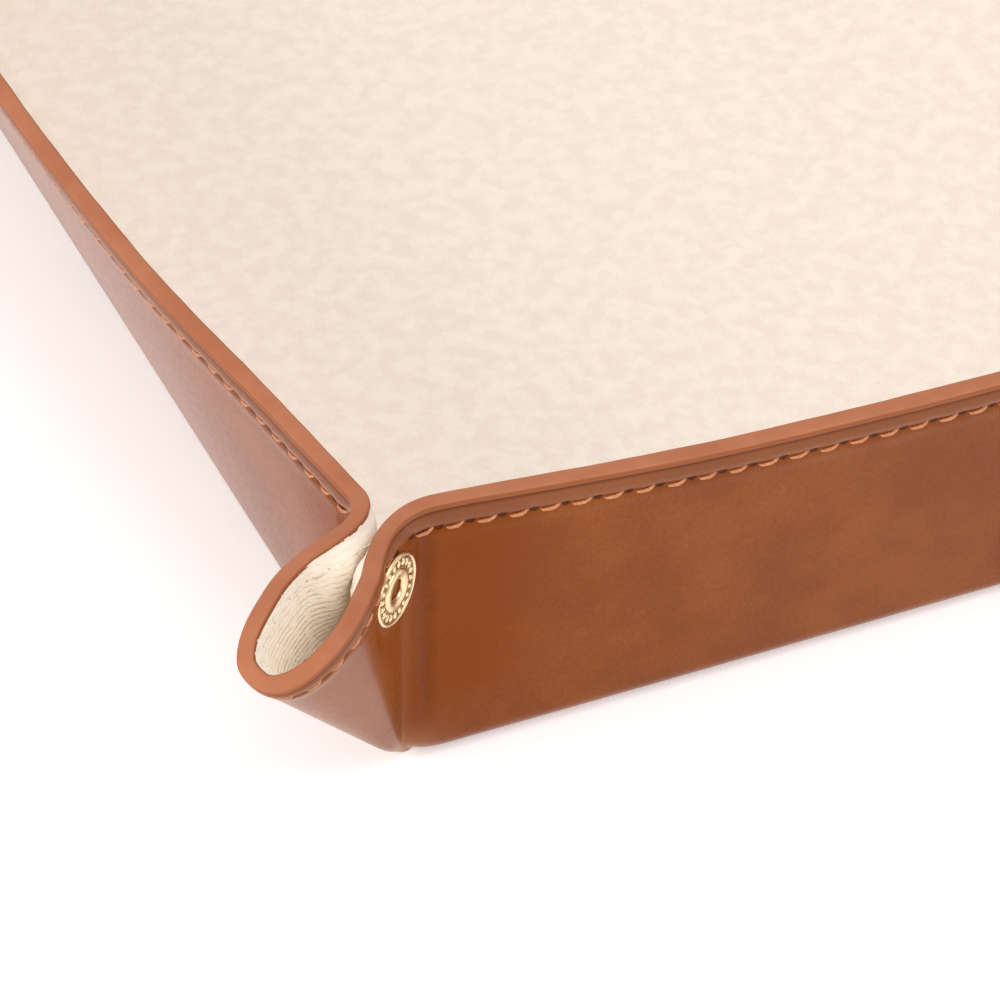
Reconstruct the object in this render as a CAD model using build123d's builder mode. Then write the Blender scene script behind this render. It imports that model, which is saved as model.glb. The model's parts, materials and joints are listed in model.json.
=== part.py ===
from build123d import *
from math import cos, hypot, pi, radians, sin, sqrt, tan
import os

# Valet tray: one sheet of leather lined with suede cloth, its four walls folded
# up from a stiffened floor. Each corner is pinched into an ear that a snap
# fastener holds shut. All sizes are in millimetres, origin under the middle of
# the floor, X along the long walls, Z up.

# Overall sizes of the folded tray
base_length = 240.0
base_width = 180.0
wall_height = 41.5

# Sheet: leather outside, lining inside, and a board that stiffens the floor
leather_thickness = 1.2
lining_thickness = 1.1
board_thickness = 0.8
sheet_thickness = leather_thickness + lining_thickness

# Folds from the floor into the walls
fold_radius = 3.5
corner_radius = 4.0
seam_gap = 0.25
plate_edge_radius = 0.8

# Lean of the walls: least at the corners, most at mid length
long_corner_angle = 5.5
long_middle_angle = 21.0
short_corner_angle = 2.0
short_middle_angle = 9.8
station_shares = (0, 0.12, 0.3, 0.5, 0.7, 0.88, 1)

# Pinched corner ears, in a frame whose U axis runs outwards along the ear and
# whose V axis points to the side of the short wall
ear_turn = 51.0
wall_end_inset = 5.5
ear_foot_height = 1.5
ear_foot_shift = -0.5
ear_rim_shift = -1.5
neck_reach = 2.5
neck_half = 3.6
loop_reach = 22.6
loop_half = 6.9
tip_reach = 36.0
tip_sheet_reach = 3.1
tip_gap = 0.4
rim_corner_radius = 27.0
foot_neck_reach = -1.9
foot_neck_half = 2.35
foot_loop_reach = -0.7
foot_loop_half = 2.0
foot_tip_reach = 0.5
foot_inner_neck_reach = -3.7
foot_inner_neck_half = 0.75
foot_inner_loop_reach = -2.5
foot_inner_loop_half = 0.7
foot_inner_tip_reach = -1.7
roll_angle = 45.0
roll_groove_angle = 34.5
fold_cut_angle = 45.0

# Snap fastener through both halves of each ear
snap_reach = 4.6
snap_rim_distance = 7.9
flange_diameter = 9.75
flange_thickness = 0.6
flange_edge_radius = 0.25
cap_crown = 1.1
cap_rim_thickness = 0.5
barrel_diameter = 4.2
barrel_hole_diameter = 2.6
seat_clearance = 0.15
socket_diameter = 8.8
socket_height = 1.85
socket_bore_diameter = 5.0
socket_floor = 0.3
plate_gap = 0.1
stud_plate_diameter = 8.4
stud_plate_thickness = 0.45
stud_neck_diameter = 3.0
stud_head_diameter = 3.7
stud_head_height = 0.8
stud_length = 1.5
cut_overrun = 20.0

os.makedirs("parts", exist_ok=True)


def write(part, name):
    part.label = name
    export_step(part, f"parts/{name}.step")


def reflected(part, planes):
    """The part mirrored about each of the planes in turn."""
    for plane in planes:
        with BuildPart() as copy:
            mirror(part, about=plane)
        part = copy.part
    return part


# Floor: three flat plates, each cut back from the fold it leads into
def floor_plate(bottom, thickness, inset, edge_radius):
    with BuildPart() as plate:
        with BuildSketch(Plane.XY.offset(bottom)):
            radius = max(corner_radius - inset, plate_edge_radius)
            RectangleRounded(base_length - 2 * inset, base_width - 2 * inset, radius)
        extrude(amount=thickness)
        if edge_radius > 0:
            fillet(plate.faces().sort_by(Axis.Z)[0].edges(), radius=edge_radius)
    return plate.part


board_bottom = leather_thickness
lining_bottom = board_bottom + board_thickness
floor_top = lining_bottom + lining_thickness

write(floor_plate(0, leather_thickness, leather_thickness + seam_gap, plate_edge_radius), "floor_leather")
write(floor_plate(board_bottom, board_thickness, fold_radius, 0), "floor_board")
write(floor_plate(lining_bottom, lining_thickness, floor_top + seam_gap, 0), "floor_lining")


# Walls: each layer is lofted through stations along the wall, and its section
# is the upper half of the fold, then a straight run up to the rim
def wall_section(plane, lean, outer_depth, inner_depth):
    run = wall_height - fold_radius + fold_radius * radians(lean)
    up = (sin(radians(lean)), cos(radians(lean)))

    def on_fold(angle, depth):
        radius = fold_radius - depth
        return (-fold_radius + radius * cos(radians(angle)), fold_radius - radius * sin(radians(angle)))

    def at_rim(depth):
        start = on_fold(lean, depth)
        return (start[0] + run * up[0], start[1] + run * up[1])

    middle = (fold_cut_angle + lean) / 2
    with BuildSketch(plane) as section:
        with BuildLine():
            ThreePointArc(on_fold(fold_cut_angle, outer_depth), on_fold(middle, outer_depth),
                          on_fold(lean, outer_depth))
            Polyline(on_fold(lean, outer_depth), at_rim(outer_depth), at_rim(inner_depth),
                     on_fold(lean, inner_depth))
            ThreePointArc(on_fold(lean, inner_depth), on_fold(middle, inner_depth),
                          on_fold(fold_cut_angle, inner_depth))
            Line(on_fold(fold_cut_angle, inner_depth), on_fold(fold_cut_angle, outer_depth))
        make_face()
    return section.sketch


def lean_at(share, at_corner, at_middle):
    return at_corner + (at_middle - at_corner) * sin(pi * share)


def wall_layer(length, along, outward, leans, outer_depth, inner_depth):
    """One layer of a wall that runs from the corner point along a direction."""
    run = length - 2 * wall_end_inset
    with BuildPart() as layer:
        for share in station_shares:
            distance = wall_end_inset + run * share
            origin = Vector(*corner_point) + Vector(*along) * distance
            plane = Plane(origin=origin, x_dir=outward, z_dir=along)
            if plane.y_dir.Z < 0:
                plane = Plane(origin=origin, x_dir=outward, z_dir=-Vector(*along))
            add(wall_section(plane, lean_at(distance / length, *leans), outer_depth, inner_depth))
        loft()
    return layer.part


corner_point = (base_length / 2, -base_width / 2, 0)
short_leans = (short_corner_angle, short_middle_angle)
long_leans = (long_corner_angle, long_middle_angle)
layers = (("leather", 0, leather_thickness), ("lining", leather_thickness, sheet_thickness))

for layer_name, outer_depth, inner_depth in layers:
    right = wall_layer(base_width, (0, 1, 0), (1, 0, 0), short_leans, outer_depth, inner_depth)
    front = wall_layer(base_length, (-1, 0, 0), (0, -1, 0), long_leans, outer_depth, inner_depth)
    write(right, f"right_wall_{layer_name}")
    write(reflected(right, [Plane.YZ]), f"left_wall_{layer_name}")
    write(front, f"front_wall_{layer_name}")
    write(reflected(front, [Plane.XZ]), f"back_wall_{layer_name}")


# Ears: the square of sheet between two walls, pinched into a loop. Each half
# is a panel next to its wall and a roll that turns round the tip of the ear
ear_out = (cos(radians(ear_turn)), -sin(radians(ear_turn)))
ear_side = (sin(radians(ear_turn)), cos(radians(ear_turn)))
panel_start = wall_end_inset - seam_gap
rim_curve_centre = wall_height - rim_corner_radius


def ear_plane(height):
    return Plane(origin=Vector(*corner_point) + Vector(0, 0, height), x_dir=(*ear_out, 0), z_dir=(0, 0, 1))


def in_ear(x, y):
    """A plan point, measured from the sharp corner, in the ear's own axes."""
    return (x * ear_out[0] + y * ear_out[1], x * ear_side[0] + y * ear_side[1])


def wall_end(side, level, depth):
    """Where a wall's end meets the ear, and the direction that the wall runs in there."""
    length, leans = (base_width, short_leans) if side > 0 else (base_length, long_leans)
    lean = lean_at(panel_start / length, *leans)
    radius = fold_radius - depth
    rise = fold_radius - ear_foot_height
    if level == "rim":
        out = (wall_height - fold_radius) * sin(radians(lean)) - depth * cos(radians(lean))
    elif radius > rise:
        out = -fold_radius + sqrt(radius * radius - rise * rise)
    else:
        out = -depth - seam_gap
    if side > 0:
        return in_ear(out, panel_start), in_ear(0, -1)
    return in_ear(-panel_start, -out), in_ear(1, 0)


def ear_points(side, level, depth):
    """Wall end, neck, widest place, mid roll and tip of one curve of the ear, and its directions there."""
    share = depth / sheet_thickness
    if level == "rim":
        shift = ear_rim_shift
        neck = (neck_reach, neck_half - depth)
        loop = (loop_reach, loop_half - depth)
        tip = tip_reach - tip_sheet_reach * share
    else:
        shift = ear_foot_shift
        neck = (foot_neck_reach + (foot_inner_neck_reach - foot_neck_reach) * share,
                foot_neck_half + (foot_inner_neck_half - foot_neck_half) * share)
        loop = (foot_loop_reach + (foot_inner_loop_reach - foot_loop_reach) * share,
                foot_loop_half + (foot_inner_loop_half - foot_loop_half) * share)
        tip = foot_tip_reach + (foot_inner_tip_reach - foot_tip_reach) * share
    start, start_way = wall_end(side, level, depth)
    middle = (loop[0] + (tip - loop[0]) * sin(radians(roll_angle)), loop[1] * cos(radians(roll_angle)))
    middle_way = ((tip - loop[0]) * cos(radians(roll_angle)), -side * loop[1] * sin(radians(roll_angle)))
    points = {
        "start": start,
        "neck": (neck[0], shift + side * neck[1]),
        "loop": (loop[0], shift + side * loop[1]),
        "middle": (middle[0], shift + side * middle[1]),
        "tip": (tip, shift + side * tip_gap / 2),
    }
    ways = {"start": start_way, "neck": (1, 0), "loop": (1, 0), "middle": middle_way, "tip": (0, -side)}
    return points, ways


def unit(way):
    return (way[0] / hypot(*way), way[1] / hypot(*way))


def ear_section(side, level, outer_depth, inner_depth):
    height = wall_height if level == "rim" else ear_foot_height
    outer, ways = ear_points(side, level, outer_depth)
    inner, inner_ways = ear_points(side, level, inner_depth)
    with BuildSketch(ear_plane(height)) as section:
        with BuildLine():
            Spline(*outer.values(), tangents=[unit(way) for way in ways.values()])
            Line(outer["tip"], inner["tip"])
            Spline(*inner.values(), tangents=[unit(way) for way in inner_ways.values()])
            Line(inner["start"], outer["start"])
        make_face()
    return section.sketch


def ear_half(side, outer_depth, inner_depth):
    with BuildPart() as half:
        add(ear_section(side, "foot", outer_depth, inner_depth))
        add(ear_section(side, "rim", outer_depth, inner_depth))
        loft(ruled=True)
        # The free corner of the sheet is rounded, so the rim falls in an arc towards the tip
        upright = Plane(origin=corner_point, x_dir=(*ear_out, 0), z_dir=(-ear_side[0], -ear_side[1], 0))
        with BuildSketch(upright):
            with BuildLine():
                centre = rim_curve_centre
                end = centre + rim_corner_radius
                beyond = end + cut_overrun
                CenterArc((centre, centre), rim_corner_radius, 0, 90)
                Polyline((centre, end), (centre, beyond), (beyond, beyond), (beyond, centre), (end, centre))
            make_face()
        extrude(amount=cut_overrun, both=True, mode=Mode.SUBTRACT)
    return half.part


# Each half folds again where its roll begins. That fold's axis runs from the
# place where all the corner's folds meet up to the outer face at the rim, and
# a groove outside it lets the roll swing outwards
fold_inset = fold_radius * (1 - cos(radians(fold_cut_angle)))
fold_meeting = Vector(*corner_point) + Vector(-fold_inset, fold_inset, fold_inset)


def split_off(half, side, keep_roll):
    """The roll or the panel of an ear half, cut along the fold between them."""
    points, ways = ear_points(side, "rim", 0)
    at_rim = ear_plane(wall_height).from_local_coords(points["middle"])
    along_fold = at_rim - fold_meeting
    to_tip = ear_plane(0).from_local_coords(ways["middle"]) - ear_plane(0).origin
    outward = along_fold.cross(to_tip) * side
    fold_plane = Plane(origin=fold_meeting, x_dir=outward, z_dir=along_fold)
    way = -side if keep_roll else side
    edge = way * seam_gap / 2
    reach = 2 * tip_reach
    with BuildPart() as piece:
        add(half)
        with BuildSketch(fold_plane):
            with BuildLine():
                Polyline(
                    (0, edge),
                    (reach, edge + way * reach * tan(radians(roll_groove_angle))),
                    (reach, -way * reach),
                    (-reach, -way * reach),
                    (-reach, edge),
                    close=True,
                )
            make_face()
        extrude(amount=reach, both=True, mode=Mode.SUBTRACT)
    return piece.part


corner_mirrors = {
    "front_right": [],
    "front_left": [Plane.YZ],
    "back_right": [Plane.XZ],
    "back_left": [Plane.YZ, Plane.XZ],
}


def write_at_corners(part, name):
    for corner, planes in corner_mirrors.items():
        write(reflected(part, planes), f"{corner}_{name}")


# Snap fastener: its axis runs along V. The flange with its hollow barrel and
# the stud sit on the short wall's half, the domed cap and the socket on the other
snap_height = wall_height - snap_rim_distance
snap_share = (snap_height - ear_foot_height) / (wall_height - ear_foot_height)
snap_shift = ear_foot_shift + (ear_rim_shift - ear_foot_shift) * snap_share
snap_half_gap = (socket_height + plate_gap + stud_plate_thickness) / 2
outer_seat = snap_half_gap + sheet_thickness
snap_centre = (Vector(*corner_point) + Vector(*ear_out, 0) * snap_reach + Vector(*ear_side, 0) * snap_shift
               + Vector(0, 0, snap_height))
snap_section = Plane(origin=snap_centre, x_dir=(*ear_out, 0), z_dir=(0, 0, 1))
snap_axis = Axis(snap_centre, (*ear_side, 0))


def turned(outline):
    """A solid turned about the snap's axis, from radii and distances towards the short wall."""
    with BuildPart() as solid:
        with BuildSketch(snap_section):
            with BuildLine():
                Polyline(*outline, close=True)
            make_face()
        revolve(axis=snap_axis)
    return solid.part


def disc_outline(start, end, diameter):
    return ((0, start), (diameter / 2, start), (diameter / 2, end), (0, end))


def seated(half, side):
    """An ear half with the seats that the snap's plates press flat and the hole for its barrel."""
    inner_diameter = (stud_plate_diameter if side > 0 else socket_diameter) + 2 * seat_clearance
    outer_diameter = flange_diameter + 2 * seat_clearance
    cuts = (
        disc_outline(side * outer_seat, side * (outer_seat + cut_overrun), outer_diameter),
        disc_outline(0, side * snap_half_gap, inner_diameter),
        disc_outline(0, side * cut_overrun, barrel_diameter + 2 * seat_clearance),
    )
    with BuildPart() as cut_half:
        add(half)
        for outline in cuts:
            add(turned(outline), mode=Mode.SUBTRACT)
    return cut_half.part


for side, side_name in ((1, "short"), (-1, "long")):
    for layer_name, outer_depth, inner_depth in layers:
        half = ear_half(side, outer_depth, inner_depth)
        write_at_corners(seated(split_off(half, side, False), side), f"{side_name}_panel_{layer_name}")
        write_at_corners(split_off(half, side, True), f"{side_name}_roll_{layer_name}")

flange_outline = (
    (barrel_hole_diameter / 2, snap_half_gap),
    (barrel_diameter / 2, snap_half_gap),
    (barrel_diameter / 2, outer_seat),
    (flange_diameter / 2, outer_seat),
    (flange_diameter / 2, outer_seat + flange_thickness - flange_edge_radius),
    (flange_diameter / 2 - flange_edge_radius, outer_seat + flange_thickness),
    (barrel_hole_diameter / 2 + flange_edge_radius, outer_seat + flange_thickness),
    (barrel_hole_diameter / 2, outer_seat + flange_thickness - flange_edge_radius),
)
write_at_corners(turned(flange_outline), "snap_flange")

plate_face = snap_half_gap - stud_plate_thickness
stud_tip = plate_face - stud_length
stud_outline = (
    (0, snap_half_gap),
    (stud_plate_diameter / 2, snap_half_gap),
    (stud_plate_diameter / 2, plate_face),
    (stud_neck_diameter / 2, plate_face),
    (stud_neck_diameter / 2, stud_tip + stud_head_height),
    (stud_head_diameter / 2, stud_tip + stud_head_height / 2),
    (stud_neck_diameter / 2, stud_tip),
    (0, stud_tip),
)
write_at_corners(turned(stud_outline), "snap_stud")

socket_outline = (
    (0, -snap_half_gap),
    (socket_diameter / 2, -snap_half_gap),
    (socket_diameter / 2, -snap_half_gap + socket_height),
    (socket_bore_diameter / 2, -snap_half_gap + socket_height),
    (socket_bore_diameter / 2, -snap_half_gap + socket_floor),
    (0, -snap_half_gap + socket_floor),
)
write_at_corners(turned(socket_outline), "snap_socket")

# The cap's crown is an arc over its flat rim
crown = (0, -outer_seat - cap_crown)
cap_rim = (flange_diameter / 2, -outer_seat - cap_rim_thickness)
with BuildPart() as cap:
    with BuildSketch(snap_section):
        with BuildLine():
            Polyline(
                crown,
                (0, -snap_half_gap),
                (barrel_diameter / 2, -snap_half_gap),
                (barrel_diameter / 2, -outer_seat),
                (flange_diameter / 2, -outer_seat),
                cap_rim,
            )
            TangentArc(crown, cap_rim, tangent=(1, 0))
        make_face()
    revolve(axis=snap_axis)
write_at_corners(cap.part, "snap_cap")
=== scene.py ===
import json
import math

import bmesh
import bpy
import numpy as np
from mathutils import Matrix, Vector


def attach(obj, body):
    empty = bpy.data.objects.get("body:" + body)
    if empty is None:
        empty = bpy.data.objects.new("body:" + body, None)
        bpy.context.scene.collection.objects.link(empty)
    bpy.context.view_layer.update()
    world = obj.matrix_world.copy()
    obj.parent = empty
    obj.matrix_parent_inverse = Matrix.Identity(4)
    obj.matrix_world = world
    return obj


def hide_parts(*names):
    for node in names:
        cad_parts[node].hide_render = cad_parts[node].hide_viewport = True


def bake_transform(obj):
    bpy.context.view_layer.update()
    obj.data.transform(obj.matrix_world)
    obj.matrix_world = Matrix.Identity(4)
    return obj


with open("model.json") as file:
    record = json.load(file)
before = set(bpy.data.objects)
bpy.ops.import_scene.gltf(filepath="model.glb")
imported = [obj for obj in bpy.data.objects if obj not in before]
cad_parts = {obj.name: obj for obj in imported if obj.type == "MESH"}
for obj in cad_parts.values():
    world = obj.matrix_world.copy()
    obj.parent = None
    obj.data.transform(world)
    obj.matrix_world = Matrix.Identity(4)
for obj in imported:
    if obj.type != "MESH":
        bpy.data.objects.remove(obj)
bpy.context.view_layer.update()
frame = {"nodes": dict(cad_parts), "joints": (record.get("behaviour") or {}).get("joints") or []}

# The tray's own sizes in millimetres, as in its solids
MM = 0.001
LENGTH, WIDTH, HEIGHT = 240.0, 180.0, 41.5
LEATHER, SHEET = 1.2, 2.3
BOARD_TOP, FLOOR_TOP = 2.0, 3.1
FOLD = 3.5
LEAST_LEATHER, LEAST_SHEET_SHARE = 0.05, 0.31
FLOOR_INSET, FLOOR_CORNER = 6.0, 1.5
SHORT_LEANS, LONG_LEANS = (2.0, 9.8), (5.5, 21.0)
WALL_END = 5.25

# The pinched ear, in a frame whose u axis runs outwards along it and whose v axis runs across it,
# towards its short side. The knots are where its rim runs, from the neck to the loop.
EAR_TURN = math.radians(51.0)
EAR_SHIFT, FOOT_SHIFT = -1.5, -0.5
SHORT_KNOTS = ((3.0, 3.2), (8.0, 4.35), (12.5, 5.9), (21.5, 7.4))
LONG_KNOTS = ((3.8, 3.25), (8.0, 4.1), (12.5, 5.25), (20.0, 5.85))
NECK_WAY = (1, 0.05)
SHORT_FULLNESS, LONG_FULLNESS = 1.0, 1.1
TIP = 36.0
ROLL_TURN = math.radians(45.0)
RIM_CURVE, RIM_CURVE_RADIUS = 14.5, 27.0
CURVE_STEPS, LEAST_STRIDE = 400, 0.08
EAR_THINNING, THINNING_SPAN, CREASE_COLUMN = 0.2, (-2, 9), 4

# The corner that the tray stands on is worn blunt
BASE_CORNER = (-1.17, 1.17)
BLUNT_RISE, BLUNT_PLACE, BLUNT_REACH, BLUNT_TOP = 1.15, -1.1, 3.0, 12.0

# Where the two halves of an ear leave little room, the sheet thins
ROOM_SHARE, LEAST_ROOM, LEAST_SIDEWAYS = 0.68, 0.05, 0.05
TIP_ROOM, FOOT_ROOM, FLOOR_ROOM = 3.7, 0.3, 60
SQUEEZE_POWER = 6

# Snap fastener, and the flat seat round it
SNAP_REACH, SNAP_HEIGHT, SNAP_SHIFT = 4.6, 33.6, -1.3025
OUTER_SEAT, SEAT_FLAT, SEAT_END, SEAT_SPAN = 3.5, 4.9, 8.2, 8
SNAP_TURNS, FLANGE_BEADS = 48, 20

# Stitching: how far below the rim it runs, and each thread's half length, thickness and lift
STITCH_PITCH, STITCH_DROP, INNER_DROP = 4.05, 3.75, 2.9
OUTER_STITCH, INNER_STITCH = (1.5, 0.27, 0.02), (1.25, 0.22, -0.04)
STITCH_SPACING = 4
BAND, LARGEST_BAND_SHARE = 7.0, 0.6
FAR_FROM_RIM = (0.5, 60.0)

# The sealed edge: half its height, how square its round is, and how far round it is coated
EDGE_HALF, EDGE_ROUND, EDGE_CORE, EDGE_PROUD = 0.6, 0.62, 0.25, 0.06
EDGE_TURNS = np.radians(np.linspace(-14, 194, 21))

# A row's number says how far down the sheet it runs: down the stitched band below the rim,
# down the plain wall, round the fold, and in under the floor
BAND_END, WALL_FOOT, FOLD_END = 1, 2, 3
FOOT_START = 1.96
BAND_ROWS = [drop / BAND for drop in (
    0.55, 0.7, 0.85, 1.0, 1.15, 1.35, 1.6, 1.9, 2.25, 2.6, 2.9, 3.15, 3.35, 3.55, 3.75, 3.95, 4.15,
    4.4, 4.75, 5.2, 5.8, 6.4, 7.0)]
LEATHER_ROWS = (BAND_ROWS + list(np.linspace(BAND_END, WALL_FOOT, 27)[1:])
                + list(np.linspace(WALL_FOOT, FOLD_END, 10)[1:]) + [3.35, 3.7, 4.0])
SUEDE_ROWS = ([0.07, 0.1, 0.13, 0.17, 0.22, 0.28, 0.36, 0.46, 0.56, 0.66, 0.78, 0.9, 1.0]
              + list(np.linspace(BAND_END, WALL_FOOT, 16)[1:])
              + list(np.linspace(WALL_FOOT, FOLD_END, 9)[1:]) + [3.25, 3.5, 3.75, 4.0])

# Columns in each quarter: along half a wall, along the ear's side and round half its tip
SHORT_COLUMNS, LONG_COLUMNS = (170, 60, 36), (230, 60, 36)


def unit(vectors):
    return vectors / np.maximum(np.linalg.norm(vectors, axis=-1, keepdims=True), 1e-9)


def smooth(low, high, value):
    share = np.clip((value - low) / (high - low), 0, 1)
    return share * share * (3 - 2 * share)


def mound(value, centre, reach, power=2):
    """1 at the centre and nothing past the reach. A higher power makes a flatter top."""
    return np.exp(-((value - centre) / reach)**power)


# Form of the sheet: columns run round the whole rim, and rows run from the rim down
OUT = np.array((math.cos(EAR_TURN), -math.sin(EAR_TURN)))
SIDE = np.array((math.sin(EAR_TURN), math.cos(EAR_TURN)))


def lean_at(distance, length, leans):
    """A wall leans out least at its ends and most in its middle."""
    return np.radians(leans[0] + (leans[1] - leans[0]) * np.sin(np.pi * distance / length))


def wall_top(lean):
    run = HEIGHT - FOLD + FOLD * lean
    return -FOLD + FOLD * np.cos(lean) + run * np.sin(lean)


def wall_base(lean):
    return -FOLD * (1 - np.cos(lean)) - FOLD * (1 - np.sin(lean)) * np.tan(lean)


def curve_through(points, ways, steps):
    """A smooth curve through points, with the direction that it takes at each."""
    points, ways = np.array(points, float), unit(np.array(ways, float))
    t = np.linspace(0, 1, steps, endpoint=False)[:, None]
    spans = []
    for a, b, way_a, way_b in zip(points[:-1], points[1:], ways[:-1], ways[1:]):
        reach = np.linalg.norm(b - a)
        spans.append((2 * t**3 - 3 * t**2 + 1) * a + (t**3 - 2 * t**2 + t) * way_a * reach
                     + (3 * t**2 - 2 * t**3) * b + (t**3 - t**2) * way_b * reach)
    return np.vstack(spans + [points[-1:]])


def along(points):
    """Distance from the first point along the line of points."""
    steps = np.linalg.norm(np.diff(points, axis=0), axis=1)
    return np.concatenate(([0], np.cumsum(steps)))


def spread(values, distances, reached):
    """Values that are known along a line, at other distances along it."""
    return np.stack([np.interp(distances, reached, part) for part in values.T], 1)


def in_plan(u, v):
    return np.outer(u, OUT) + np.outer(v, SIDE)


def rim_sway(side, distance):
    """How far the real rim strays outwards from the even bow of the solids."""
    if side > 0:
        return -0.95 * mound(distance, 5, 14) + 0.6 * smooth(18, 45, distance)
    return -0.2 * mound(distance, 5, 12) + 1.2 * smooth(22, 60, distance)


def ear_knots(side):
    """Points of the rim on one side of an ear, from its neck to its tip, and its way at each."""
    knots = list(SHORT_KNOTS if side > 0 else LONG_KNOTS)
    ways = [NECK_WAY] + [(c[0] - a[0], c[1] - a[1]) for a, c in zip(knots, knots[2:])] + [(1, 0)]
    full = SHORT_FULLNESS if side > 0 else LONG_FULLNESS
    reach, half = knots[-1]
    middle = (reach + (TIP - reach) * math.sin(ROLL_TURN) * full,
              half * math.cos(ROLL_TURN) * full**2)
    middle_way = ((TIP - reach) * math.cos(ROLL_TURN), -half * math.sin(ROLL_TURN))
    return knots + [middle, (TIP, 0)], ways + [middle_way, (0, -1)]


def half_corner(side, leans, length, counts):
    """Rim, base line, outward direction and the floor's edge, in plan, from the middle of a wall
    to the ear's tip. side is 1 for a short wall and -1 for a long one."""
    distance = np.linspace(length / 2, WALL_END, counts[0] + 1)
    lean = lean_at(distance, length, leans)
    rim = np.stack([wall_top(lean) + rim_sway(side, distance), distance], 1)
    base = np.stack([wall_base(lean), distance], 1)
    outward = np.tile((1.0, 0.0), (len(distance), 1))
    inner = np.stack([np.full(len(distance), -FLOOR_INSET), distance], 1)
    if side < 0:
        rim, base, outward, inner = (a[:, ::-1] * (-1, -1) for a in (rim, base, outward, inner))

    knots, knot_ways = ear_knots(side)
    plan = np.vstack([rim[-1:]] + [in_plan([u], [EAR_SHIFT + side * v]) for u, v in knots])
    ways = np.vstack([(rim[-1] - rim[-2])[None]] + [in_plan([u], [side * v]) for u, v in knot_ways])
    curve = curve_through(plan, ways, CURVE_STEPS)
    reached = along(curve)
    loop_reached = reached[CURVE_STEPS * len(SHORT_KNOTS)]
    marks = np.concatenate([np.linspace(0, loop_reached, counts[1] + 1)[1:],
                            np.linspace(loop_reached, reached[-1], counts[2] + 1)[1:]])

    foot = curve_through([base[-1], BASE_CORNER], [base[-1] - base[-2], SIDE * -side], CURVE_STEPS)
    foot_reached = along(foot)
    share = 1 - (1 - marks / reached[-1]) ** (reached[-1] / foot_reached[-1])
    foot_marks = share * foot_reached[-1]
    ear_ways = unit(spread(unit(np.gradient(foot, axis=0)), foot_marks, foot_reached))
    ear_outward = np.stack([-ear_ways[:, 1], ear_ways[:, 0]], 1) * side
    rim = np.vstack([rim, spread(curve, marks, reached)])
    base = np.vstack([base, spread(foot, foot_marks, foot_reached)])
    outward = np.vstack([outward, ear_outward])

    # The floor's corner is rounded, and the columns past its start share out its arc
    travelled = along(base)
    first = travelled[counts[0]] - (FLOOR_INSET + FLOOR_CORNER - WALL_END)
    turn = np.clip((travelled - first) / (travelled[-1] - first), 0, 1)
    whole_turn = EAR_TURN if side > 0 else math.pi / 2 - EAR_TURN
    angle = -turn * whole_turn if side > 0 else -math.pi / 2 + turn * whole_turn
    centre = np.array((-1, 1)) * (FLOOR_INSET + FLOOR_CORNER)
    arc = centre + FLOOR_CORNER * np.stack([np.cos(angle), np.sin(angle)], 1)
    inner = np.vstack([inner, np.tile(inner[-1], (len(marks), 1))])
    inner = np.where((turn > 0)[:, None], arc, inner)
    return rim, base, outward, inner


def quarter():
    """All columns from the middle of the right wall, round an ear, to the middle of the front."""
    short = half_corner(1, SHORT_LEANS, WIDTH, SHORT_COLUMNS)
    long = half_corner(-1, LONG_LEANS, LENGTH, LONG_COLUMNS)
    return [np.vstack([a, b[-2::-1]]) for a, b in zip(short, long)]


def ruling_top(rim, base):
    """Where each column meets the rim, which falls where the sheet's free corner is rounded."""
    top = np.column_stack([rim, np.full(len(rim), HEIGHT)])
    foot = np.column_stack([base, np.zeros(len(base))])
    flat_top, flat_foot = (np.stack([p[:, :2] @ OUT, p[:, 2]], 1) - RIM_CURVE for p in (top, foot))
    way = flat_top - flat_foot
    a, b = (way * way).sum(1), (flat_foot * way).sum(1)
    c = (flat_foot * flat_foot).sum(1) - RIM_CURVE_RADIUS**2
    crossing = (-b + np.sqrt(np.maximum(b * b - a * c, 0))) / a
    cut = (flat_top[:, 0] > 0) & (crossing < 1)
    share = np.where(cut, crossing, 1)[:, None]
    return foot + (top - foot) * share, foot


def whole_rim():
    """The quarter and its mirror images, joined into a closed loop in the tray's frame."""
    rim, base, outward, inner = quarter()
    top, foot = ruling_top(rim, base)
    flat = np.zeros((len(rim), 1))
    parts = {"top": top, "foot": foot, "outward": np.hstack([outward, flat]),
             "inner": np.hstack([inner, flat])}
    loop = {key: [] for key in parts}
    corners = []
    for index, (sx, sy) in enumerate(((1, 1), (-1, 1), (-1, -1), (1, -1))):
        flip = index % 2 == 1
        for key, part in parts.items():
            moved = part * (sx, sy, 1)
            if key != "outward":
                moved = moved + (sx * LENGTH / 2, -sy * WIDTH / 2, 0)
            loop[key].append((moved[::-1] if flip else moved)[:-1])
        corners.append(np.tile((sx, sy), (len(rim) - 1, 1)))
    loop = {key: np.vstack(part) for key, part in loop.items()}
    loop["corner"] = np.vstack(corners)
    return loop


def round_gradient(values):
    return (np.roll(values, -1, axis=0) - np.roll(values, 1, axis=0)) / 2


rim = whole_rim()
columns = len(rim["top"])
rim["down"] = unit(rim["foot"] - rim["top"])
rim["length"] = np.linalg.norm(rim["foot"] - rim["top"], axis=1)
rim["step"] = round_gradient(rim["top"])
rim["foot_step"] = round_gradient(rim["foot"])
rim["s"] = along(rim["top"])
round_length = rim["s"][-1] + np.linalg.norm(rim["top"][0] - rim["top"][-1])
slant = np.linalg.norm(np.cross(unit(rim["step"]), rim["down"]), axis=1)
rim["skew"] = 1 / np.clip(slant, 0.7, 1)
leaning = -(rim["down"] * rim["outward"]).sum(1)
rim["fold"] = FOLD * np.sqrt((1 - leaning) / (1 + leaning))
rim["fold_turn"] = np.pi / 2 - np.arcsin(np.clip(leaning, -1, 1))
stitch_count = round(round_length / STITCH_PITCH)
pitch = round_length / stitch_count

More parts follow.
